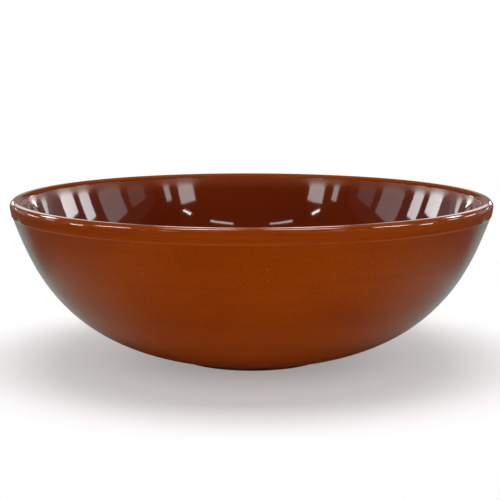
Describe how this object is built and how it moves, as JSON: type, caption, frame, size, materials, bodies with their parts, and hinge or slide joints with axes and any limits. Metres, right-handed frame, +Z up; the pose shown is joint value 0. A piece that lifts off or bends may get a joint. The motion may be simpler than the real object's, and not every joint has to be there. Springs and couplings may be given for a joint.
{
  "type": "salad bowl",
  "caption": "Round deep terracotta salad bowl with a curved wall, a glazed inside, a rim collar with a full round lip and a low bare foot ring.",
  "frame": {"origin": "middle of the bowl's bounding box, on the plane of the foot ring that it rests on", "axes": "+Z up along the bowl's axis of revolution, out of its mouth; +X and +Y lie in the resting plane and are free, because the bowl is round"},
  "size_m": [0.26, 0.26, 0.088],
  "materials": {
    "terracotta": "bare fired terracotta, matte, seen only on the foot ring and in the recess under the bowl",
    "liner_glaze": "dark brick-brown gloss liner glaze",
    "rim_glaze": "warm brown gloss glaze",
    "wall_glaze": "orange-brown satin gloss glaze with a fine mottle"
  },
  "bodies": {
    "root": {"clay_body": "terracotta", "inner_glaze": "liner_glaze", "rim_glaze": "rim_glaze", "outer_glaze": "wall_glaze"}
  },
  "joints": []
}
